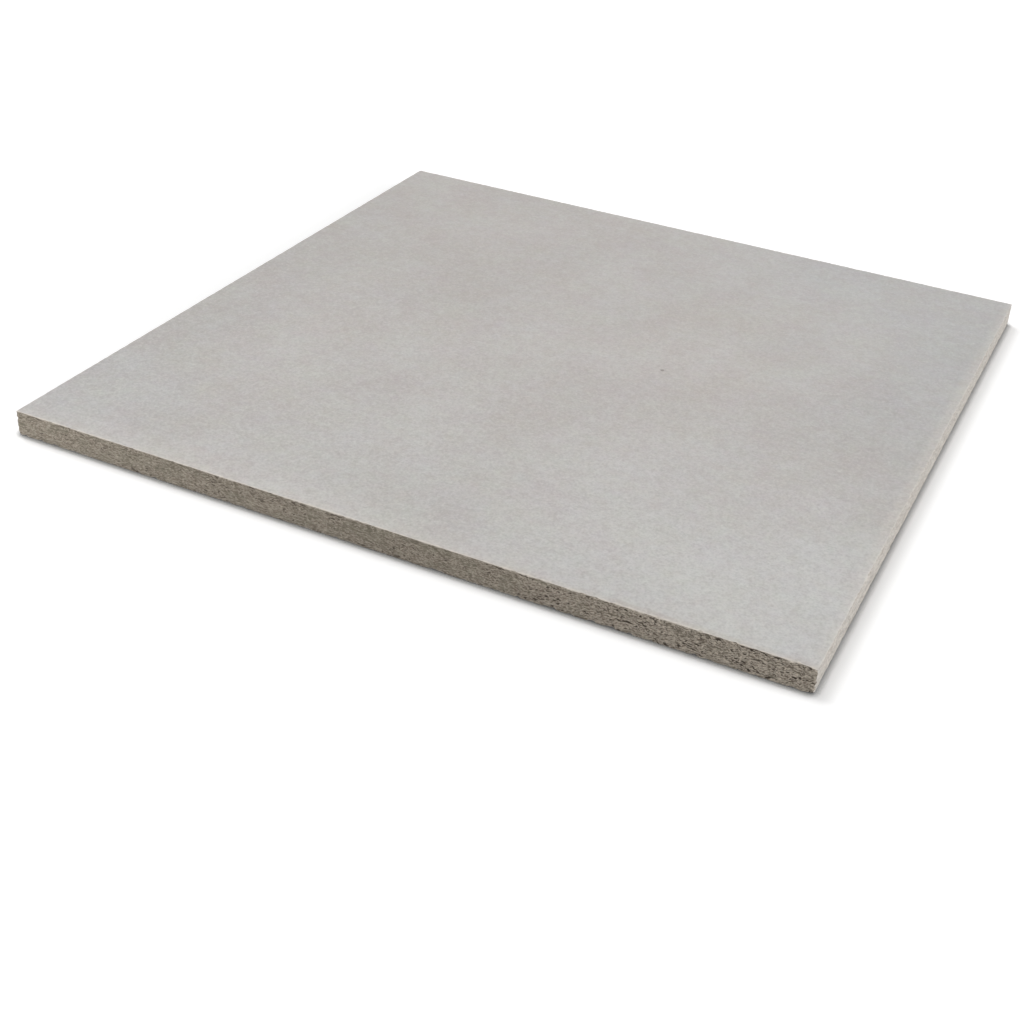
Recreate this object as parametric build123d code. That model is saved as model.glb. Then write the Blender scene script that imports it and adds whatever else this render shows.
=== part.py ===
"""Cement board: one flat sheet of cement-bonded wood particles, sawn square on all four edges.

Millimetres. The sheet lies flat, with its origin at the middle of the underside. +X runs along
the front edge, +Y from the front edge to the back edge, and +Z up through the thickness.
"""

import os

from build123d import *

# Driving dimensions
BOARD_LENGTH = 625.0  # along the front edge: half the width of a 1250 mm sheet
BOARD_WIDTH = 625.0  # from the front edge to the back edge
BOARD_THICKNESS = 20.0
CORNER_RADIUS = 1.6  # upright corners, rubbed off in handling
ARRIS_RADIUS = 0.6  # rims of both faces, dulled after the saw

PARTS_FOLDER = "parts"


def sawn_blank():
    """The sheet as it leaves the saw: a rectangle of full thickness, with its upright corners rubbed off."""
    with BuildPart() as blank:
        with BuildSketch():
            RectangleRounded(BOARD_LENGTH, BOARD_WIDTH, CORNER_RADIUS)
        extrude(amount=BOARD_THICKNESS)
    return blank.part


def dull_arrises(blank):
    """Rounds the rim of the underside and the rim of the top face, all the way round."""
    faces_upwards = blank.faces().filter_by(Axis.Z).sort_by(Axis.Z)
    rims = faces_upwards[0].edges() + faces_upwards[-1].edges()
    return fillet(rims, ARRIS_RADIUS)


def main():
    """Builds the board and writes it as its one node."""
    board = dull_arrises(sawn_blank())
    board.label = "cement_board"
    os.makedirs(PARTS_FOLDER, exist_ok=True)
    export_step(board, os.path.join(PARTS_FOLDER, f"{board.label}.step"))


main()
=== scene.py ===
"""Looks of a cement board: one flat sheet of cement-bonded wood particles, cut on all four edges.

Metres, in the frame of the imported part: the origin is at the middle of the underside, +X runs along the
front edge, +Y from front to back and +Z up through the thickness.
"""

import logging
import math
from dataclasses import dataclass, field
from enum import Enum

import bmesh
import bpy
from mathutils import Matrix, Vector, noise


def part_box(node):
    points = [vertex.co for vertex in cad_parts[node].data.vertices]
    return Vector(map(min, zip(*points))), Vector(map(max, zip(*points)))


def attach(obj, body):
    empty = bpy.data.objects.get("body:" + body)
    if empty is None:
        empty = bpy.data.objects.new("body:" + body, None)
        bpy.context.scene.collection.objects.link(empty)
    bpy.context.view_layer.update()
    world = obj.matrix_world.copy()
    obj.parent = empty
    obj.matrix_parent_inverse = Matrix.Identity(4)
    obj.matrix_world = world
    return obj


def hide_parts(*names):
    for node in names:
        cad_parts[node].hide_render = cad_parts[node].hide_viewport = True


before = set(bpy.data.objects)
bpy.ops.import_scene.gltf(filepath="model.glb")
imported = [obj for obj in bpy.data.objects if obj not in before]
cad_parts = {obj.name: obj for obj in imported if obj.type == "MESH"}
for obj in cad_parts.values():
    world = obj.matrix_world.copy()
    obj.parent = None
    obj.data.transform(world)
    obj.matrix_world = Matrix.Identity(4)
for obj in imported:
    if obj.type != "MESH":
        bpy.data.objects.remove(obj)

MM = 0.001
NODE = "cement_board"
BODY = "root"
CREAM = "#E4DCD1"  # cream cement where the skin broke off, and painted highlight along the arrises

# Vertex attributes that the relief leaves for the finishes
HOLLOW = "hollow"
TORN = "torn"
ARRIS = "arris"

BAKE_MAP = "OFBake"  # UV map with a place for each side of the sheet
NOISE_MIDDLE = 0.5  # middle value of a noise texture
SAME_LINE = 0.01 * MM  # points that differ by less lie on one line

Pair = tuple[float, float]
Triple = tuple[float, float, float]
Span = Pair  # values of a pattern where a mark starts and where it is in full

# Sockets of the colour Mix node, which has several of the same name
MIX_FACTOR = 0
MIX_A = 6
MIX_B = 7
MIX_RESULT = 2

# Inputs of a Map Range node
RANGE = ("From Min", "From Max", "To Min", "To Max")

LOG = logging.getLogger(NODE)


def srgb(code: str) -> tuple[float, float, float, float]:
    """Turns an sRGB hex colour into linear light, with the numbers of the sRGB standard.

    Args:
        code: Six hex digits after a hash sign.
    Returns:
        Linear red, green and blue, and an alpha of 1.
    """
    shares = [int(code[i : i + 2], 16) / 255 for i in (1, 3, 5)]
    linear = [s / 12.92 if s <= 0.04045 else ((s + 0.055) / 1.055) ** 2.4 for s in shares]
    return (*linear, 1.0)


def ramp(value: float, low: float, high: float) -> float:
    """Smooth step from 0 at low to 1 at high.

    Args:
        value: The number to place.
        low: Where the step starts. It may be above high.
        high: Where the step ends.
    Returns:
        A number from 0 to 1.
    """
    share = min(max((value - low) / (high - low), 0.0), 1.0)
    return share * share * (3 - 2 * share)


def add_node(
    tree: bpy.types.NodeTree, kind: str, links: dict | None = None, **settings: object
) -> bpy.types.Node:
    """Adds one shader node, sets its properties and fills its inputs.

    Args:
        tree: The node tree that gets the node.
        kind: The node's type name, without the ShaderNode prefix.
        links: For each input's name or place, an output socket to link or a value to set.
        settings: Properties of the node itself.
    Returns:
        The new node.
    """
    made = tree.nodes.new("ShaderNode" + kind)
    for name, value in settings.items():
        setattr(made, name, value)
    for place, value in (links or {}).items():
        if isinstance(value, bpy.types.NodeSocket):
            tree.links.new(value, made.inputs[place])
        else:
            made.inputs[place].default_value = value
    return made


class EdgeCut(Enum):
    """How an edge of the sheet was cut."""

    ROUGH_SAWN = "rough_sawn"
    TRIMMED = "trimmed"


class Region(Enum):
    """The six sides of the sheet, each with its outward direction and its place on the bake map.

    A place is left, bottom, width and height, as shares of the map.
    """

    TOP = ((0, 0, 1), (0.005, 0.005, 0.655, 0.655))
    UNDERSIDE = ((0, 0, -1), (0.67, 0.005, 0.325, 0.655))
    FRONT = ((0, -1, 0), (0.005, 0.670, 0.99, 0.076))
    BACK = ((0, 1, 0), (0.005, 0.752, 0.99, 0.076))
    LEFT = ((-1, 0, 0), (0.005, 0.834, 0.99, 0.076))
    RIGHT = ((1, 0, 0), (0.005, 0.916, 0.99, 0.076))

    @property
    def outward(self) -> Vector:
        """The direction that this side faces."""
        return Vector(self.value[0])

    @property
    def across(self) -> int:
        """The axis that runs along the map's width: Y on the left and right edges, otherwise X."""
        return 1 if self.value[0][0] else 0

    @property
    def upward(self) -> int:
        """The axis that runs up the map: Y on the two faces, otherwise Z."""
        return 1 if self.value[0][2] else 2


@dataclass(frozen=True)
class EdgeRelief:
    """Depth of a cut edge below its saw plane.

    Flakes lie flat in the pressed mat, so each pattern is long along the edge and thin through it.
    """

    tear_depth: float  # shallow hollows where the saw pulled flakes out
    void_depth: float  # gaps between flakes that the cement didn't fill
    void_share: float  # share of the places between flakes that are gaps
    groove_depth: float  # long grooves where the saw lifted the skin
    grit_depth: float
    wave_depth: float
    flake_length: float = 4.6 * MM
    flake_thickness: float = 1.3 * MM
    tear_span: Span = (0.0, 0.6)
    curl_height: float = 0.5 * MM  # how far the layers of flakes rise and dip
    curl_length: float = 5 * MM
    curl_shift: Triple = (7.1, 2.3, 4.9)  # keeps their pattern apart from the others
    void_length: float = 4.2 * MM
    void_thickness: float = 1.15 * MM
    void_reach: float = 0.62  # from the middle of a gap to its end, in the two sizes above
    void_spread: float = 13.7  # spreads the gaps' middles before some are drawn
    void_span: Span = (0.1, 0.7)
    groove_length: float = 9 * MM
    groove_level: float = 1.5 * MM  # distance from the face
    groove_width: float = 0.9 * MM
    groove_span: Span = (0.05, 0.35)
    skin: float = 2.2 * MM  # fine, cement-rich layer under both faces, with hardly any gaps
    skin_start: float = 0.2  # share of the skin with no gaps at all
    skin_tear: float = 0.4  # share of the tearing that the skin shows
    grit_size: float = 1.6 * MM
    wave_length: float = 34 * MM

    def depths(self, point: Vector, skin_distance: float, torn: float) -> Pair:
        """Works out the relief at one point of the edge.

        Args:
            point: A point on the saw plane, in metres.
            skin_distance: How far the point is from the nearer face.
            torn: How roughly the saw went there, from 0 to 1.
        Returns:
            The depth below the saw plane in metres, and how near the point is to the middle of a gap,
            from 0 to 1.
        """
        curl = self.curl_height * noise.noise(point / self.curl_length + Vector(self.curl_shift))
        lying = Vector((point.x, point.y, point.z + curl))
        flake, cell = (
            Vector((lying.x / length, lying.y / length, lying.z / thickness))
            for length, thickness in (
                (self.flake_length, self.flake_thickness),
                (self.void_length, self.void_thickness),
            )
        )
        core = ramp(skin_distance, self.skin_start * self.skin, self.skin)
        tear = ramp(noise.noise(flake), *self.tear_span) * (self.skin_tear + (1 - self.skin_tear) * core)
        near, centres = noise.voronoi(cell)
        picked = noise.cell(centres[0] * self.void_spread) < self.void_share * core * torn
        gap = max(0.0, 1 - near[0] / self.void_reach) if picked else 0.0
        lifted = ramp(noise.noise(point / self.groove_length), *self.groove_span)
        groove = lifted * max(0.0, 1 - abs(skin_distance - self.groove_level) / self.groove_width)
        grit, wave = (0.5 + 0.5 * noise.noise(point / size) for size in (self.grit_size, self.wave_length))
        rough = self.tear_depth * tear + self.void_depth * ramp(gap, *self.void_span)
        rough += self.grit_depth * grit
        rough += self.groove_depth * groove
        return rough * torn + self.wave_depth * wave, max(gap, groove)


@dataclass(frozen=True)
class Patch:
    """A soft patch on the top: cement that dried to another tint, or a rim that was rubbed pale."""

    centre: Pair
    reach: Pair  # half its length along X and along Y
    colour: str
    strength: float


@dataclass(frozen=True)
class Clouding:
    """Pale and dull places of one size in the pressed skin."""

    size: float
    strength: float
    detail: float = 2.0
    rubbed: bool = False  # whether it shows more where the skin was rubbed


@dataclass(frozen=True)
class PressedFace:
    """Cement-bonded particle board, pressed between steel plates and left unsanded.

    The plates leave a dull, even skin of fine cement: pale grey, clouded where the cement paste dried at
    different speeds, and speckled by the fine particles just under it. Broken rims show cream cement,
    partly painted highlight.
    """

    name: str = "pressed_cement_face"
    base: str = "#BBB7B4"
    pale: str = "#D6D3CF"
    dull: str = "#9C9894"
    clouds: Clouding = Clouding(150 * MM, 0.12)
    streaks: Clouding = Clouding(40 * MM, 0.10)
    mottle: Clouding = Clouding(8 * MM, 0.12)
    # Cement grit is about 0.3 mm: these two are drawn coarser, so that they show
    grain: Clouding = Clouding(2.7 * MM, 0.23, rubbed=True)
    grit: Clouding = Clouding(1.5 * MM, 0.19, detail=1.0, rubbed=True)
    dull_span: Span = (0.48, 0.75)
    pale_span: Span = (0.50, 0.25)
    grain_height: float = 0.04 * MM
    mottle_height: float = 0.05 * MM
    roughness: Pair = (0.80, 0.92)  # smoothest and roughest places
    gloss_span: Span = (0.3, 0.7)
    ior: float = 1.5
    rubbed_front: float = 1.25  # share of the grain at the front, where the skin was rubbed
    rubbed_back: float = 0.8  # and at the back
    rubbed_reach: float = 0.31  # distance of both from the middle
    tint_strength: float = 0.028  # pinkish and bluish blotches in the grey
    level: float = 20 * MM  # height of the face that the patches lie on
    patch_waver: float = 0.33  # how far the patches' outlines stray, as a share of their lesser reach
    patch_fade: float = 0.6  # share of its reach over which a patch fades out
    patches: tuple[Patch, ...] = (
        Patch((0.27, 0.27), (0.36, 0.36), "#B5B6B6", 0.55),
        Patch((0.30, -0.30), (0.22, 0.22), "#C6C6C4", 0.75),
        Patch((0.02, -0.33), (0.26, 0.26), "#BBBBB8", 0.55),
        Patch((-0.12, 0.22), (0.30, 0.30), "#B4AFAB", 0.25),
        Patch((0.04, 0.02), (0.16, 0.44), "#C1BDBA", 0.38),
        Patch((0.17, -0.18), (0.15, 0.17), "#C7C5C3", 0.45),
        Patch((0.14, 0.10), (0.14, 0.17), "#BFB8B3", 0.35),
        Patch((-0.34, -0.10), (0.15, 0.44), "#B1AEAB", 0.50),
        Patch((-0.28, -0.27), (0.12, 0.12), "#B6B6B6", 0.45),
        Patch((0.33, 0.08), (0.11, 0.30), "#AEADAC", 0.35),
        Patch((-0.08, -0.32), (0.40, 0.045), "#C8C4BF", 0.40),
        Patch((-0.08, -0.3125), (0.38, 0.010), CREAM, 0.13),
        Patch((0.22, -0.3125), (0.24, 0.0072), "#B7ADA2", 0.38),
        Patch((0.3125, 0.00), (0.011, 0.50), CREAM, 0.20),
        Patch((0.0825, 0.0125), (0.0024, 0.0024), "#77716B", 0.75),
    )

    def material(self) -> bpy.types.Material:
        """Makes the finish as a node material.

        Returns:
            The material, which reads Object coordinates and the arris attribute.
        """
        made = bpy.data.materials.new(self.name)
        made.use_nodes = True
        tree = made.node_tree
        shader = tree.nodes["Principled BSDF"]
        place = add_node(tree, "TexCoord").outputs["Object"]
        tones = (self.clouds, self.streaks, self.mottle, self.grain, self.grit)
        patterns = {}
        for tone in tones:
            inputs = {"Vector": place, "Scale": 1 / tone.size, "Detail": tone.detail}
            patterns[tone] = add_node(tree, "TexNoise", inputs)
        layers = []

        # The patches have uneven outlines: their pattern is pushed about, more for the wider ones
        inputs = {0: patterns[self.streaks].outputs["Color"], 1: (NOISE_MIDDLE,) * 3}
        centred = add_node(tree, "VectorMath", inputs, operation="SUBTRACT")
        for patch in self.patches:
            least = min(patch.reach)
            inputs = {0: centred.outputs[0], 1: (self.patch_waver * least,) * 3, 2: place}
            pushed = add_node(tree, "VectorMath", inputs, operation="MULTIPLY_ADD")
            inputs = {
                "Vector": pushed.outputs[0],
                "Location": (*patch.centre, self.level),
                "Scale": (*patch.reach, least),
            }
            local = add_node(tree, "Mapping", inputs, vector_type="TEXTURE")
            ball = add_node(tree, "TexGradient", {"Vector": local.outputs[0]}, gradient_type="SPHERICAL")
            inputs = {"Value": ball.outputs["Fac"], "From Max": self.patch_fade, "To Max": patch.strength}
            share = add_node(tree, "MapRange", inputs, interpolation_type="SMOOTHSTEP")
            layers.append((share.outputs[0], srgb(patch.colour), "MIX"))

        # The grain shows more towards the front
        along = add_node(tree, "SeparateXYZ", {"Vector": place})
        ends = (-self.rubbed_reach, self.rubbed_reach, self.rubbed_front, self.rubbed_back)
        rubbed = add_node(tree, "MapRange", {"Value": along.outputs["Y"], **dict(zip(RANGE, ends))})
        for tone in tones:
            pattern = patterns[tone].outputs["Fac"]
            most = tone.strength
            if tone.rubbed:
                scaled = add_node(tree, "Math", {0: rubbed.outputs[0], 1: most}, operation="MULTIPLY")
                most = scaled.outputs[0]
            for tint, span in ((self.dull, self.dull_span), (self.pale, self.pale_span)):
                inputs = {"Value": pattern, **dict(zip(RANGE, (*span, 0.0, most)))}
                share = add_node(tree, "MapRange", inputs)
                layers.append((share.outputs[0], srgb(tint), "MIX"))
        for tone in (self.streaks, self.mottle):
            layers.append((self.tint_strength, patterns[tone].outputs["Color"], "OVERLAY"))
        # The cream line along the arris: fresh cement, partly painted highlight
        rim = add_node(tree, "Attribute", attribute_name=ARRIS)
        layers.append((rim.outputs["Fac"], srgb(CREAM), "MIX"))
        colour = srgb(self.base)
        for share, tint, blend in layers:
            inputs = {MIX_FACTOR: share, MIX_A: colour, MIX_B: tint}
            colour = add_node(tree, "Mix", inputs, data_type="RGBA", blend_type=blend).outputs[MIX_RESULT]
        tree.links.new(colour, shader.inputs["Base Color"])

        mottle = patterns[self.mottle].outputs["Fac"]
        ends = (*self.gloss_span, *self.roughness)
        gloss = add_node(tree, "MapRange", {"Value": mottle, **dict(zip(RANGE, ends))})
        tree.links.new(gloss.outputs[0], shader.inputs["Roughness"])
        shader.inputs["IOR"].default_value = self.ior

        coarse = add_node(tree, "Bump", {"Height": mottle, "Distance": self.mottle_height})
        inputs = {
            "Height": patterns[self.grain].outputs["Fac"],
            "Distance": self.grain_height,
            "Normal": coarse.outputs[0],
        }
        fine = add_node(tree, "Bump", inputs)
        tree.links.new(fine.outputs[0], shader.inputs["Normal"])
        return made


@dataclass(frozen=True)
class FlatPattern:
    """A pattern that lies flat in the pressed mat: long along the sheet and thin through it."""

    length: float
    thickness: float
    detail: float = 1.0
    rough: float = 0.5  # strength of the detail

    @property
    def scale(self) -> Triple:
        """How often the pattern goes into a metre along X, Y and Z."""
        return (1 / self.length, 1 / self.length, 1 / self.thickness)


@dataclass(frozen=True)
class CutEdge:
    """Cut edge of cement-bonded particle board: flakes of softwood set in grey cement, sliced by a saw.

    The eye sees flat lens-shaped flakes in layers, tan wood between grey-green cement, thin pale seams
    that curve round the flakes with painted shadow between them, dark pits where flakes were pulled out,
    partly painted shade, pale rims round the pits, partly painted highlight, and cream lines along the
    arrises: fresh cement, partly painted highlight.
    """

    name: str
    cement: str
    wood: str
    pale: str
    dim: str
    # dark colour of the pits, partly painted shade in their hollows
    gap: str
    pale_strength: float
    dim_strength: float
    speck_strength: float
    seam_and_shadow_strength: float
    rim_and_highlight_strength: float  # of the pale rims round the pits: pale flake ends, partly painted highlight
    pit_shade_strength: float
    lower_painted_light: float  # how much paler the lower layers are painted: painted light that evens out the shade near the floor
    pit_level: float  # where the pits' pattern opens: the share of pits grows with it
    flake_height: float
    pit_height: float
    tints: FlatPattern = FlatPattern(18 * MM, 7 * MM)
    flakes: FlatPattern = FlatPattern(6 * MM, 1.5 * MM)
    streaks: FlatPattern = FlatPattern(5 * MM, 1 * MM, detail=2.0, rough=0.6)
    seams: FlatPattern = FlatPattern(7 * MM, 2.4 * MM)
    pits: FlatPattern = FlatPattern(4 * MM, 1 * MM, detail=2.0, rough=0.65)
    specks: FlatPattern = FlatPattern(1.9 * MM, 0.75 * MM)
    curl: float = 2.4  # how far the flakes are pushed about, in thicknesses
    curl_detail: float = 2.0
    wood_span: Span = (0.42, 0.58)  # of the tints
    flake_wood: float = 0.5  # how woody a single flake gets
    flake_wood_span: Span = (0.35, 0.75)
    flake_span: Span = (0.60, 0.95)  # of the pale flakes and of the dim ones
    streak_share: float = 0.8  # against the strength of the flakes
    streak_pale_span: Span = (0.52, 0.66)
    streak_dim_span: Span = (0.47, 0.32)
    speck_span: Span = (0.05, 0.16)  # of the distance from the pattern's middle value
    right_end_darkening: float = 0.0  # how much darker the edge is painted at its right end, where the torn value is highest
    torn_span: Span = (0.82, 1.0)
    seam_count: float = 4.0  # seams from the lowest to the highest place of their pattern
    seam_fold: float = 0.5  # the climbing pattern turns back at this value
    # the dim phase of the seams is painted shadow beside the pale lines
    seam_shadow_span: Span = (0.32, 0.46)
    seam_pale_span: Span = (0.16, 0.04)
    hollow_give: float = 0.22  # how much lower the pits' pattern lies in the modelled gaps
    pit_give: float = 0.17  # and where the saw tore
    pit_crowding: float = 0.35  # how much the pits keep to the woodier places
    pit_softness: float = 0.03
    rim_rise: float = 0.075  # how far above the level of the pits their rims lie
    rim_span: Span = (0.06, 0.025)  # of the distance from there
    painted_light_height: float = 15 * MM  # the painted light starts here and grows towards the underside
    roughness: Pair = (0.87, 0.97)  # smoothest and roughest places
    ior: float = 1.5

    def material(self) -> bpy.types.Material:
        """Makes the finish as a node material.

        Returns:
            The material, which reads Object coordinates and the hollow, torn and arris attributes.
        """
        made = bpy.data.materials.new(self.name)
        made.use_nodes = True
        tree = made.node_tree
        shader = tree.nodes["Principled BSDF"]
        place = add_node(tree, "TexCoord").outputs["Object"]
        hollow, torn, rim = (
            add_node(tree, "Attribute", attribute_name=name).outputs["Fac"]
            for name in (HOLLOW, TORN, ARRIS)
        )

        # Flakes curl, more where the saw tore, so their pattern is pushed about before it is flattened
        inputs = {"Vector": place, "Scale": 1 / self.flakes.length, "Detail": self.curl_detail}
        curl = add_node(tree, "TexNoise", inputs)
        inputs = {0: curl.outputs["Color"], 1: (NOISE_MIDDLE,) * 3}
        centred = add_node(tree, "VectorMath", inputs, operation="SUBTRACT")
        farthest = self.curl * self.flakes.thickness
        most_curl = add_node(tree, "Math", {0: torn, 1: farthest}, operation="MULTIPLY")
        inputs = {0: centred.outputs[0], "Scale": most_curl.outputs[0]}
        push = add_node(tree, "VectorMath", inputs, operation="SCALE")
        curled = add_node(tree, "VectorMath", {0: place, 1: push.outputs[0]}, operation="ADD").outputs[0]
        flats = (self.tints, self.streaks, self.seams, self.pits, self.specks)
        lying = {
            flat: add_node(tree, "Mapping", {"Vector": curled, "Scale": flat.scale}).outputs[0]
            for flat in (*flats, self.flakes)
        }
        shown = []
        for flat in flats:
            inputs = {"Vector": lying[flat], "Scale": 1.0, "Detail": flat.detail, "Roughness": flat.rough}
            shown.append(add_node(tree, "TexNoise", inputs).outputs["Fac"])
        tints, streaks, slow, pits, specks = shown
        flakes = add_node(tree, "TexVoronoi", {"Vector": lying[self.flakes], "Scale": 1.0})
        kinds = add_node(tree, "SeparateColor", {"Color": flakes.outputs["Color"]})

        # Seams are level lines of a slow pattern: thin pale curves that crowd round the flakes, with
        # painted shadow in the dim phase between them
        climb = add_node(tree, "Math", {0: slow, 1: self.seam_count}, operation="MULTIPLY")
        folded = add_node(tree, "Math", {0: climb.outputs[0], 1: self.seam_fold}, operation="PINGPONG")
        seam = folded.outputs[0]

        # Pits are the low places of a pattern, which modelled gaps, tearing and woodier places lower. Their
        # dark colour is partly painted shade
        level = pits
        for mark, most in ((hollow, self.hollow_give), (torn, self.pit_give), (tints, self.pit_crowding)):
            sunk = add_node(tree, "Math", {0: mark, 1: most}, operation="MULTIPLY")
            level = add_node(tree, "Math", {0: level, 1: sunk.outputs[0]}, operation="SUBTRACT").outputs[0]
        pit_level = self.pit_level - self.pit_give - NOISE_MIDDLE * self.pit_crowding
        pit_span = (pit_level + self.pit_softness, pit_level - self.pit_softness)
        above = add_node(tree, "Math", {0: level, 1: pit_level + self.rim_rise}, operation="SUBTRACT")
        off_rim = add_node(tree, "Math", {0: above.outputs[0]}, operation="ABSOLUTE")

        height = add_node(tree, "SeparateXYZ", {"Vector": place})
        speck_dim_span = [NOISE_MIDDLE - away for away in self.speck_span]
        speck_pale_span = [NOISE_MIDDLE + away for away in self.speck_span]
        layers = []

        # Each layer lies over those before it, where its pattern is within its span
        for source, tint, span, most in (
            # Painted light: the edge is painted paler towards the underside, against the shade near the
            # floor
            (height.outputs["Z"], self.pale, (self.painted_light_height, 0.0), self.lower_painted_light),
            (tints, self.wood, self.wood_span, 1.0),
            (kinds.outputs["Red"], self.wood, self.flake_wood_span, self.flake_wood),
            (kinds.outputs["Green"], self.pale, self.flake_span, self.pale_strength),
            (kinds.outputs["Blue"], self.dim, self.flake_span, self.dim_strength),
            (streaks, self.pale, self.streak_pale_span, self.streak_share * self.pale_strength),
            (streaks, self.dim, self.streak_dim_span, self.streak_share * self.dim_strength),
            (specks, self.dim, speck_dim_span, self.speck_strength),
            (specks, self.pale, speck_pale_span, self.speck_strength),
            # Darker towards the right end of the edge
            (torn, self.dim, self.torn_span, self.right_end_darkening),
            (seam, self.dim, self.seam_shadow_span, self.seam_and_shadow_strength),
            (seam, self.pale, self.seam_pale_span, self.seam_and_shadow_strength),
            # Pale rims round the pits, partly painted highlight
            (off_rim.outputs[0], self.pale, self.rim_span, self.rim_and_highlight_strength),
            # Dark pits, partly painted shade
            (level, self.gap, pit_span, self.pit_shade_strength),
        ):
            most_here = add_node(tree, "Math", {0: torn, 1: most}, operation="MULTIPLY")
            ends = (*span, 0.0, most_here.outputs[0])
            share = add_node(tree, "MapRange", {"Value": source, **dict(zip(RANGE, ends))})
            layers.append((share.outputs[0], tint))
        # The cream line along the arris: fresh cement, partly painted highlight
        layers.append((rim, CREAM))
        colour = srgb(self.cement)
        for share, tint in layers:
            inputs = {MIX_FACTOR: share, MIX_A: colour, MIX_B: srgb(tint)}
            colour = add_node(tree, "Mix", inputs, data_type="RGBA").outputs[MIX_RESULT]
        tree.links.new(colour, shader.inputs["Base Color"])

        ends = (0.0, 1.0, *self.roughness)
        gloss = add_node(tree, "MapRange", {"Value": streaks, **dict(zip(RANGE, ends))})
        tree.links.new(gloss.outputs[0], shader.inputs["Roughness"])
        shader.inputs["IOR"].default_value = self.ior

        inputs = {"Height": flakes.outputs["Distance"], "Distance": self.flake_height}
        layered = add_node(tree, "Bump", inputs, invert=True)
        inputs = {"Height": level, "Distance": self.pit_height, "Normal": layered.outputs[0]}
        pitted = add_node(tree, "Bump", inputs)
        tree.links.new(pitted.outputs[0], shader.inputs["Normal"])
        return made


ROUGH_FINISH = CutEdge(
    name="rough_sawn_particle_edge",
    cement="#827C6D",
    wood="#83766A",
    pale="#DACFC0",
    dim="#665D52",
    gap="#4C443B",
    pale_strength=0.32,
    dim_strength=0.38,
    speck_strength=1.0,
    seam_and_shadow_strength=0.50,
    rim_and_highlight_strength=0.90,
    pit_shade_strength=1.35,
    lower_painted_light=0.24,
    pit_level=0.36,
    flake_height=0.30 * MM,
    pit_height=0.70 * MM,
    pit_give=0.06,
    right_end_darkening=0.22,
    speck_span=(0.11, 0.19),
)
TRIMMED_FINISH = CutEdge(
    name="trimmed_particle_edge",
    cement="#C0BFBB",
    wood="#C8C2BD",
    pale="#DBD5CC",
    dim="#9E978F",
    gap="#82796F",
    pale_strength=0.45,
    dim_strength=0.45,
    speck_strength=0.60,
    seam_and_shadow_strength=0.55,
    rim_and_highlight_strength=0.20,
    pit_shade_strength=0.60,
    lower_painted_light=0.20,
    pit_level=0.33,
    flake_height=0.06 * MM,
    pit_height=0.08 * MM,
    flakes=FlatPattern(10 * MM, 1.5 * MM),
    streaks=FlatPattern(9 * MM, 1 * MM, detail=2.0, rough=0.6),
    seams=FlatPattern(14 * MM, 2.4 * MM),
)
ROUGH_RELIEF = EdgeRelief(
    tear_depth=0.35 * MM,
    void_depth=0.8 * MM,
    void_share=0.40,
    groove_depth=0.45 * MM,
    grit_depth=0.12 * MM,
    wave_depth=0.15 * MM,
)
TRIMMED_RELIEF = EdgeRelief(
    tear_depth=0.10 * MM,
    void_depth=0.35 * MM,
    void_share=0.08,
    groove_depth=0.05 * MM,
    grit_depth=0.05 * MM,
    wave_depth=0.10 * MM,
)


@dataclass(frozen=True)
class Knock:
    """A tip of the sheet that was knocked off, leaving a small slanted break."""

    corner: tuple[int, int, int]  # which corner: -1 or 1 along X, Y and Z
    reach: Triple  # how far the break runs from it along each


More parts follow.
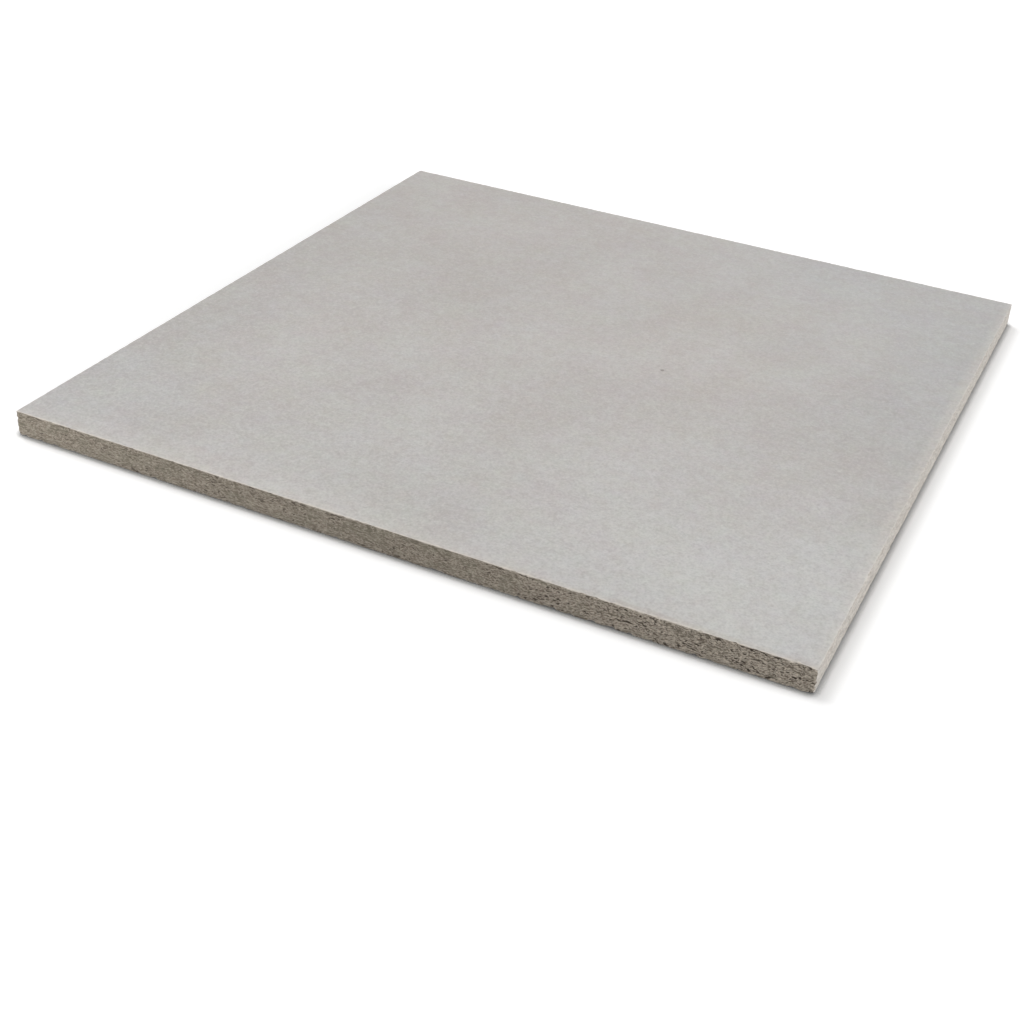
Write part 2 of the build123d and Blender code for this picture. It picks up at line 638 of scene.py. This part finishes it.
@dataclass
class Sheet:
    """The board itself: a flat slab with worn arrises and corners, and relief on its four cut edges."""

    low: Vector
    high: Vector
    name: str = "board"
    sawn_step: float = 0.75 * MM  # spacing of the relief's points along a rough sawn edge
    trimmed_step: float = 1.8 * MM  # and along a trimmed edge, which is smoother
    row_step: float = 0.74 * MM  # spacing of its rows through the thickness
    arris_radius: float = 0.5 * MM
    arris_steps: int = 2
    rim_rings: tuple[float, ...] = (0.6 * MM, 1.1 * MM, 2.2 * MM)
    inner_margin: float = 16 * MM
    inner_cells: int = 24
    fade: float = 4 * MM  # how far in the rim of a face follows the relief of its edge
    gap_fade: float = 0.8 * MM  # how far in the shade of its gaps runs
    corner_radius: float = 0.8 * MM
    corner_wear: float = 2.5 * MM
    corner_knock: float = 2.6 * MM  # height of one knock on an upright corner
    corner_spread: float = 9.0  # sets the four corners' patterns apart
    corner_span: Span = (-0.3, 0.6)
    arris_spread: float = 40 * MM  # sets the patterns of the upper and lower arrises apart
    chip_depth: float = 1.3 * MM
    chip_length: float = 6 * MM
    chip_reach: float = 2.8 * MM
    chip_under: float = 1.4  # the saw broke more out of the lower arrises
    chip_span: Span = (0.1, 0.6)
    small_chip: float = 0.32  # length of the small chips, against that of the large ones
    small_chip_share: float = 0.3  # their share of the depth
    small_chip_span: Span = (0.1, 0.8)
    cream_line_width: float = 1.3 * MM  # of the cream line along an arris: fresh cement, partly painted highlight
    cream_line_slant: float = 2.0  # it runs this much further over the face than down the edge
    cream_line_core: float = 0.3  # share of its width where it shows in full
    under_highlight_span: Span = (-0.2, 0.3)  # along the lower arrises the line is painted highlight, which comes and goes
    scallop_length: float = 6 * MM
    scallop_least: float = 0.55  # the line's narrowest places, against its width
    scallop_more: float = 1.1  # and how much wider its widest ones are
    scallop_span: Span = (-0.35, 0.45)
    fresh_and_highlight_shown: dict[EdgeCut, float] = field(
        default_factory=lambda: {EdgeCut.ROUGH_SAWN: 0.56, EdgeCut.TRIMMED: 0.18}
    )
    break_depth: float = 4.5 * MM  # how far the trimmed edges are broken in from the upright corners
    break_height: float = 2.4 * MM  # height of one such break
    break_spread: Pair = (3.0, 7.0)  # sets the breaks of the four corners apart
    break_span: Span = (0.0, 0.6)
    knocks: tuple[Knock, ...] = (
        Knock((-1, -1, -1), (3.6 * MM, 3 * MM, 2 * MM)),
        Knock((1, -1, -1), (8.5 * MM, 3.2 * MM, 1.9 * MM)),
        Knock((1, -1, 1), (6 * MM, 5 * MM, 3.2 * MM)),
        Knock((1, 1, -1), (2.6 * MM, 3 * MM, 1.6 * MM)),
        Knock((-1, 1, 1), (2 * MM, 2.4 * MM, 1.5 * MM)),
    )
    torn_span: Span = (0.01, 0.27)  # along X: the saw tears more and more to the right
    torn_least: float = 0.5
    chipped: dict[Region, float] = field(
        default_factory=lambda: {Region.FRONT: 1.0, Region.BACK: 0.3, Region.LEFT: 0.25, Region.RIGHT: 0.25}
    )
    cuts: dict[Region, EdgeCut] = field(
        default_factory=lambda: {
            Region.FRONT: EdgeCut.ROUGH_SAWN,
            Region.BACK: EdgeCut.ROUGH_SAWN,
            Region.LEFT: EdgeCut.TRIMMED,
            Region.RIGHT: EdgeCut.TRIMMED,
        }
    )
    reliefs: dict[EdgeCut, EdgeRelief] = field(
        default_factory=lambda: {EdgeCut.ROUGH_SAWN: ROUGH_RELIEF, EdgeCut.TRIMMED: TRIMMED_RELIEF}
    )

    @property
    def size(self) -> Vector:
        """Length, width and thickness."""
        return self.high - self.low

    @property
    def middle(self) -> Vector:
        """The centre of the sheet."""
        return (self.low + self.high) / 2

    def build(self) -> bpy.types.Object:
        """Models the board and dresses it.

        Returns:
            The board's object, riding on its body and standing for its node.
        """
        shape = bmesh.new()
        self._saw_blank(shape)
        self._dull_arrises(shape)
        for level in (self.low.z, self.high.z):
            self._lay_face(shape, level)
        bmesh.ops.recalc_face_normals(shape, faces=shape.faces)
        self._mark_regions(shape)
        self._wear(shape)
        for face in shape.faces:
            face.smooth = True
        mesh = bpy.data.meshes.new(self.name)
        shape.to_mesh(mesh)
        shape.free()
        piece = bpy.data.objects.new(self.name, mesh)
        bpy.context.scene.collection.objects.link(piece)
        for finish in (PressedFace(), ROUGH_FINISH, TRIMMED_FINISH):
            mesh.materials.append(finish.material())
        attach(piece, BODY)
        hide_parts(NODE)
        return piece

    def _saw_blank(self, shape: bmesh.types.BMesh) -> None:
        """Makes the square slab, with its four edges divided into a fine grid.

        Args:
            shape: The empty mesh that gets the slab.
        """
        place = Matrix.Translation(self.middle)
        bmesh.ops.create_cube(shape, size=1.0, matrix=place @ Matrix.Diagonal((*self.size, 1.0)))
        shape.normal_update()
        plates = [f for f in shape.faces if abs(f.normal.z) > 0.5]
        bmesh.ops.delete(shape, geom=plates, context="FACES_ONLY")
        upright = [e for e in shape.edges if abs(e.verts[0].co.z - e.verts[1].co.z) > self.size.z / 2]
        rows = round(self.size.z / self.row_step)
        bmesh.ops.subdivide_edges(shape, edges=upright, cuts=rows - 1, use_grid_fill=True)
        for axis, step in ((0, self.sawn_step), (1, self.trimmed_step)):
            half = self.size[axis] / 2
            level = [e for e in shape.edges if abs(e.verts[0].co[axis] - e.verts[1].co[axis]) > half]
            cuts = round(self.size[axis] / step) - 1
            bmesh.ops.subdivide_edges(shape, edges=level, cuts=cuts, use_grid_fill=True)
        bmesh.ops.holes_fill(shape, edges=[e for e in shape.edges if e.is_boundary], sides=0)

    def _dull_arrises(self, shape: bmesh.types.BMesh) -> None:
        """Rounds the rims of the two faces.

        Args:
            shape: The slab.
        """
        # Only the two faces of the board have more than four corners
        rims = [e for f in shape.faces if len(f.verts) > 4 for e in f.edges]
        bmesh.ops.bevel(
            shape,
            geom=rims,
            offset=self.arris_radius,
            segments=self.arris_steps,
            profile=0.5,  # round
            affect="EDGES",
            material=-1,
        )

    def _lay_face(self, shape: bmesh.types.BMesh, level: float) -> None:
        """Gives one face fine rings along its rim and a coarse grid inside them.

        Args:
            shape: The slab.
            level: The height of the face.
        """
        plates = (f for f in shape.faces if len(f.verts) > 4)
        plate = next(f for f in plates if abs(f.calc_center_median().z - level) < MM)
        reach = max(v.co.x for v in plate.verts)
        for ring in self.rim_rings:
            bmesh.ops.inset_individual(shape, faces=[plate], thickness=0.0)
            share = (reach - ring) / reach
            bmesh.ops.scale(shape, vec=(share, share, 1.0), verts=plate.verts)
            reach -= ring
        outer = list(plate.edges)
        bmesh.ops.delete(shape, geom=[plate], context="FACES_ONLY")
        half = self.size.x / 2 - self.inner_margin
        grid = bmesh.ops.create_grid(
            shape,
            x_segments=self.inner_cells,
            y_segments=self.inner_cells,
            size=half,
            matrix=Matrix.Translation((0.0, 0.0, level)),
        )
        inner = dict.fromkeys(e for v in grid["verts"] for e in v.link_edges if e.is_boundary)
        for axis in (0, 1):
            for sign in (-1, 1):
                chain = [e for e in (*outer, *inner) if self._runs_along(e, axis, sign)]
                bmesh.ops.bridge_loops(shape, edges=chain)

    def _runs_along(self, edge: bmesh.types.BMEdge, axis: int, sign: int) -> bool:
        """Tells whether an edge of a rim lies on one side of the board.

        Args:
            edge: An edge of a square ring round the middle.
            axis: The axis that the side faces along.
            sign: The direction of the side on that axis.
        Returns:
            True if both ends are at the ring's far reach in that direction.
        """
        first, second = (v.co[axis] for v in edge.verts)
        return abs(first - second) < SAME_LINE and first * sign > self.size[axis] / 4

    def _mark_regions(self, shape: bmesh.types.BMesh) -> None:
        """Gives each face its finish and its place on the bake map, by the way it faces.

        Args:
            shape: The slab, before it is worn.
        """
        layer = shape.loops.layers.uv.new(BAKE_MAP)
        shape.normal_update()
        finishes = {None: 0, EdgeCut.ROUGH_SAWN: 1, EdgeCut.TRIMMED: 2}
        for face in shape.faces:
            region = max(Region, key=lambda r: face.normal.dot(r.outward))
            cut = self.cuts.get(region)
            if cut == EdgeCut.TRIMMED and self._broken(face.calc_center_median()):
                cut = EdgeCut.ROUGH_SAWN
            face.material_index = finishes[cut]
            left, bottom, width, height = region.value[1]
            axes = (region.across, region.upward)
            for loop in face.loops:
                share = [(loop.vert.co[a] - self.low[a]) / self.size[a] for a in axes]
                loop[layer].uv = (left + width * share[0], bottom + height * share[1])

    def _broken(self, spot: Vector) -> bool:
        """Tells whether a spot on a trimmed edge was broken away with the upright corner beside it.

        Args:
            spot: A point on the edge.
        Returns:
            True if the rough core shows there.
        """
        sides = [math.copysign(apart, spot[a]) for a, apart in enumerate(self.break_spread)]
        corner = Vector((*sides, spot.z / self.break_height))
        reach = self.break_depth * ramp(noise.noise(corner), *self.break_span)
        return self.size.y / 2 - abs(spot.y) < reach

    def _wear(self, shape: bmesh.types.BMesh) -> None:
        """Moves the points of the edges and rims inwards: relief, chipped arrises and worn corners.

        Args:
            shape: The slab, with its regions marked.
        """
        layers = [shape.verts.layers.float.new(name) for name in (HOLLOW, TORN, ARRIS)]
        for vert in shape.verts:
            inset = [self.size[a] / 2 - abs(vert.co[a]) for a in (0, 1)]
            if min(inset) > self.fade:
                continue
            moved, *marks = self._worn(vert.co.copy(), inset)
            vert.co = moved
            for layer, mark in zip(layers, marks):
                vert[layer] = mark

    def _worn(self, rest: Vector, inset: list[float]) -> tuple[Vector, float, float, float]:
        """Works out where one point of the rim or edge ends up.

        Args:
            rest: The point on the square slab.
            inset: Its distances from the nearer X side and the nearer Y side.
        Returns:
            The worn point, how open its gap is, how torn the edge is, and how much of the cream line shows,
            which is fresh cement and painted highlight.
        """
        skin = min(rest.z - self.low.z, self.high.z - rest.z)
        face_side = 1 if rest.z > self.size.z / 2 else -1
        depth = list(inset)
        gap = roughest = fresh_and_highlight = drop = 0.0
        for axis, regions in ((0, (Region.LEFT, Region.RIGHT)), (1, (Region.FRONT, Region.BACK))):
            if inset[axis] > self.fade:
                continue
            region = regions[rest[axis] > 0]
            relief = self.reliefs[self.cuts[region]]
            on_plane = rest.copy()
            on_plane[axis] = self.size[axis] / 2 * (1 if rest[axis] > 0 else -1)
            torn = self._torn(rest, region)
            if inset[axis] <= min(inset):
                roughest = torn
            cut, opened = relief.depths(on_plane, skin, torn)
            follow = 1 - inset[axis] / self.fade
            depth[axis] += cut * follow
            near = math.hypot(inset[axis], skin)
            spot = Vector((on_plane.x, on_plane.y, self.arris_spread * face_side))
            chip = torn * self.chipped[region] * self._chip(spot)
            chip *= max(0.0, 1 - near / self.chip_reach) ** 2
            depth[axis] += chip
            drop = max(drop, chip)
            gap = max(gap, opened * (1 - ramp(inset[axis], 0.0, self.gap_fade)))
            shown, width = self._lip(spot, self.cuts[region])
            off_line = math.hypot(inset[axis], self.cream_line_slant * skin)
            fresh_and_highlight = max(fresh_and_highlight, shown * ramp(off_line, width, self.cream_line_core * width))
        self._round_corner(depth, rest)
        drop += self._knock_tips(depth, rest, skin + drop)
        worn = rest.copy()
        for axis in (0, 1):
            worn[axis] = math.copysign(self.size[axis] / 2 - depth[axis], rest[axis])
        worn.z -= face_side * drop
        return worn, gap, roughest, fresh_and_highlight

    def _torn(self, point: Vector, region: Region) -> float:
        """Works out how roughly the saw went at a point of an edge.

        Args:
            point: A point on the edge or its rim.
            region: The edge.
        Returns:
            A number from 0 to 1, which grows to the right, but not along the back edge.
        """
        rough = 0.0 if region == Region.BACK else ramp(point.x, *self.torn_span)
        return self.torn_least + (1 - self.torn_least) * rough

    def _lip(self, spot: Vector, cut: EdgeCut) -> Pair:
        """Works out the cream line along an arris at a point on it: fresh cement with painted highlight.

        Args:
            spot: The place in the arris's pattern, below zero for a lower one.
            cut: How the edge was cut.
        Returns:
            How much the line shows, from 0 to 1, and its width in metres, which is scalloped.
        """
        scallop = ramp(noise.noise(spot / self.scallop_length), *self.scallop_span)
        width = self.cream_line_width * (self.scallop_least + self.scallop_more * scallop)
        shown = self.fresh_and_highlight_shown[cut]
        # On a lower arris the line is painted highlight, for the light the arris catches from below
        if spot.z < 0:
            shown *= ramp(noise.noise(spot / self.chip_length), *self.under_highlight_span)
        return shown, width

    def _knock_tips(self, depth: list[float], rest: Vector, height: float) -> float:
        """Breaks the tips off the corners that were knocked.

        Args:
            depth: The point's distances from its X side and its Y side, changed in place.
            rest: The point on the square slab.
            height: The point's distance from the nearer face.
        Returns:
            How much further the point ends up from that face.
        """
        for knock in self.knocks:
            if any(side * (rest[a] - self.middle[a]) <= 0 for a, side in enumerate(knock.corner)):
                continue
            slant = Vector(1 / reach for reach in knock.reach)
            lack = 1 - slant.dot(Vector((*depth, height)))
            if lack > 0:
                push = slant * lack / slant.length_squared
                depth[:] = [d + p for d, p in zip(depth, push)]
                return push.z
        return 0.0

    def _chip(self, spot: Vector) -> float:
        """Depth of the chips out of an arris at a point on it.

        Args:
            spot: The place in the arris's pattern, below zero for a lower one.
        Returns:
            The depth in metres.
        """
        large = ramp(noise.noise(spot / self.chip_length), *self.chip_span)
        small = ramp(noise.noise(spot / (self.small_chip * self.chip_length)), *self.small_chip_span)
        share = (1 - self.small_chip_share) * large + self.small_chip_share * small
        return self.chip_depth * (self.chip_under if spot.z < 0 else 1.0) * share

    def _round_corner(self, depth: list[float], rest: Vector) -> None:
        """Rounds an upright corner, more where it was knocked.

        Args:
            depth: The point's distances from its X side and its Y side, changed in place.
            rest: The point on the square slab.
        """
        apart = self.corner_spread
        spot = Vector((rest.x * apart, rest.y * apart, rest.z / self.corner_knock))
        knock = ramp(noise.noise(spot), *self.corner_span)
        radius = self.corner_radius + self.corner_wear * knock
        away = [radius - d for d in depth]
        if min(away) <= 0:
            return
        reach = math.hypot(*away)
        if reach > radius:
            depth[:] = [radius - a * radius / reach for a in away]


@dataclass(frozen=True)
class SoftLamp:
    """A broad, even studio light, far enough off to light the whole set alike."""

    name: str
    azimuth: float  # degrees round from the front, towards the right
    elevation: float  # degrees above the floor
    level: float  # the light on a surface that faces the lamp, where 1 shows a colour as written
    spread: float  # degrees across, as seen from the board

    def build(self) -> None:
        """Makes the lamp."""
        data = bpy.data.lights.new(self.name, "SUN")
        data.energy = self.level * math.pi
        data.angle = math.radians(self.spread)
        lamp = bpy.data.objects.new(self.name, data)
        bpy.context.scene.collection.objects.link(lamp)
        turn = math.radians(self.azimuth)
        rise = math.radians(self.elevation)
        flat = math.cos(rise)
        towards = Vector((math.sin(turn) * flat, -math.cos(turn) * flat, math.sin(rise)))
        lamp.rotation_euler = towards.to_track_quat("Z", "Y").to_euler()


@dataclass(frozen=True)
class NearLamp:
    """A small soft box near the board, which lights the end next to it more than the far end."""

    name: str
    place: Triple
    size: float
    level: float  # the light on a surface that faces the lamp from its reach
    reach: float

    def build(self) -> None:
        """Makes the lamp, turned to the middle of the board."""
        data = bpy.data.lights.new(self.name, "AREA")
        data.size = self.size
        data.energy = self.level * (math.pi * self.reach) ** 2
        lamp = bpy.data.objects.new(self.name, data)
        bpy.context.scene.collection.objects.link(lamp)
        lamp.location = self.place
        lamp.rotation_euler = Vector(self.place).to_track_quat("Z", "Y").to_euler()
        lamp.visible_camera = False


@dataclass(frozen=True)
class Studio:
    """Plain pale floor, soft light and the camera."""

    floor_size: float = 40.0
    floor_drop: float = 0.15 * MM  # keeps the floor off the underside
    floor_bounce: str = "#C4C3C1"
    contact_reach: float = 6 * MM  # the painted contact shade at the foot of the board is this wide
    contact_shade: float = 0.22  # what is left of the light in it
    contact_span: Span = (0.5, 0.95)  # open shares of the sky where it starts and ends
    floor_lift: float = 0.15  # light added to the floor as the camera sees it, so that it reads white
    sky_level: float = 0.48
    backdrop: str = "#FFFFFF"
    lens: float = 53.96
    sensor: float = 36.0
    clip: Pair = (0.01, 100.0)  # nearest and farthest distance that the camera sees
    camera_place: Triple = (0.44379, -1.07218, 0.59217)
    camera_azimuth: float = 24.280
    camera_elevation: float = 32.316
    camera_roll: float = 3.532
    lamps: tuple[SoftLamp, ...] = (
        SoftLamp("key_back_left", azimuth=-116.0, elevation=56.0, level=0.40, spread=26.0),
        SoftLamp("side_right", azimuth=88.0, elevation=13.0, level=0.535, spread=40.0),
    )
    fill: NearLamp = NearLamp(
        "fill_front_left", place=(-0.62, -0.62, 0.08), size=0.20, level=0.39, reach=0.5
    )

    def build(self) -> None:
        """Sets up the floor, the world, the lamps and the camera."""
        self._lay_floor()
        self._light_world()
        for lamp in (*self.lamps, self.fill):
            lamp.build()
        self._place_camera()
        bpy.context.scene.view_settings.view_transform = "Standard"

    def _seen_directly(self, tree: bpy.types.NodeTree) -> bpy.types.NodeSocket:
        """Adds nodes that tell rays that show a thing from rays that only carry light.

        Args:
            tree: The node tree that gets the nodes.
        Returns:
            An output that is 1 for camera, glossy and transmission rays.
        """
        path = add_node(tree, "LightPath")
        shown = path.outputs["Is Camera Ray"]
        for kind in ("Is Glossy Ray", "Is Transmission Ray"):
            either = add_node(tree, "Math", {0: shown, 1: path.outputs[kind]}, operation="MAXIMUM")
            shown = either.outputs[0]
        return shown

    def _lay_floor(self) -> None:
        """Makes the floor: white with the board's shadow and painted contact shade, duller in the light it
        returns.
        """
        shape = bmesh.new()
        bmesh.ops.create_grid(shape, x_segments=1, y_segments=1, size=self.floor_size / 2)
        mesh = bpy.data.meshes.new("floor")
        shape.to_mesh(mesh)
        shape.free()
        mesh.transform(Matrix.Translation((0.0, 0.0, -self.floor_drop)))
        floor = bpy.data.objects.new("floor", mesh)
        bpy.context.scene.collection.objects.link(floor)
        paint = bpy.data.materials.new("matt_studio_floor")
        paint.use_nodes = True
        tree = paint.node_tree
        tree.nodes.clear()
        bounce = add_node(tree, "BsdfDiffuse", {"Color": srgb(self.floor_bounce)})
        # Painted shade: ambient occlusion darkens the floor's colour and its lift at the foot of the board
        open_sky = add_node(tree, "AmbientOcclusion", {"Distance": self.contact_reach}, samples=2)
        ends = (*self.contact_span, self.contact_shade, 1.0)
        clear = add_node(tree, "MapRange", {"Value": open_sky.outputs["AO"], **dict(zip(RANGE, ends))})
        seen = add_node(tree, "BsdfDiffuse", {"Color": clear.outputs[0]})
        lift = add_node(tree, "Emission", {"Color": clear.outputs[0], "Strength": self.floor_lift})
        white = add_node(tree, "AddShader", {0: seen.outputs[0], 1: lift.outputs[0]})
        inputs = {0: self._seen_directly(tree), 1: bounce.outputs[0], 2: white.outputs[0]}
        shader = add_node(tree, "MixShader", inputs)
        add_node(tree, "OutputMaterial", {"Surface": shader.outputs[0]})
        mesh.materials.append(paint)

    def _light_world(self) -> None:
        """Makes the even light from all round, with white behind the board."""
        world = bpy.data.worlds.new("studio")
        world.use_nodes = True
        tree = world.node_tree
        tree.nodes.clear()
        inputs = {"Value": self._seen_directly(tree), "To Min": self.sky_level, "To Max": 1.0}
        strength = add_node(tree, "MapRange", inputs)
        inputs = {"Color": srgb(self.backdrop), "Strength": strength.outputs[0]}
        glow = add_node(tree, "Background", inputs)
        add_node(tree, "OutputWorld", {"Surface": glow.outputs[0]})
        bpy.context.scene.world = world

    def _place_camera(self) -> None:
        """Makes the camera and gives it to the scene."""
        data = bpy.data.cameras.new("camera")
        data.lens = self.lens
        data.sensor_width = self.sensor
        data.clip_start, data.clip_end = self.clip
        camera = bpy.data.objects.new("camera", data)
        bpy.context.scene.collection.objects.link(camera)
        turn = Matrix.Rotation(math.radians(self.camera_azimuth), 4, "Z")
        tilt = Matrix.Rotation(math.radians(90 - self.camera_elevation), 4, "X")
        roll = Matrix.Rotation(math.radians(self.camera_roll), 4, "Z")
        camera.matrix_world = Matrix.Translation(self.camera_place) @ turn @ tilt @ roll
        bpy.context.scene.camera = camera


def main() -> None:
    """Builds the board and the studio, and reports each piece."""
    logging.basicConfig(level=logging.INFO, format="%(name)s: %(message)s")
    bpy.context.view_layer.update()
    board = Sheet(*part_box(NODE)).build()
    LOG.info("%s: %d points, %d faces", board.name, len(board.data.vertices), len(board.data.polygons))
    Studio().build()
    LOG.info("studio is lit, with the camera in place")


if __name__ == "__main__":
    main()
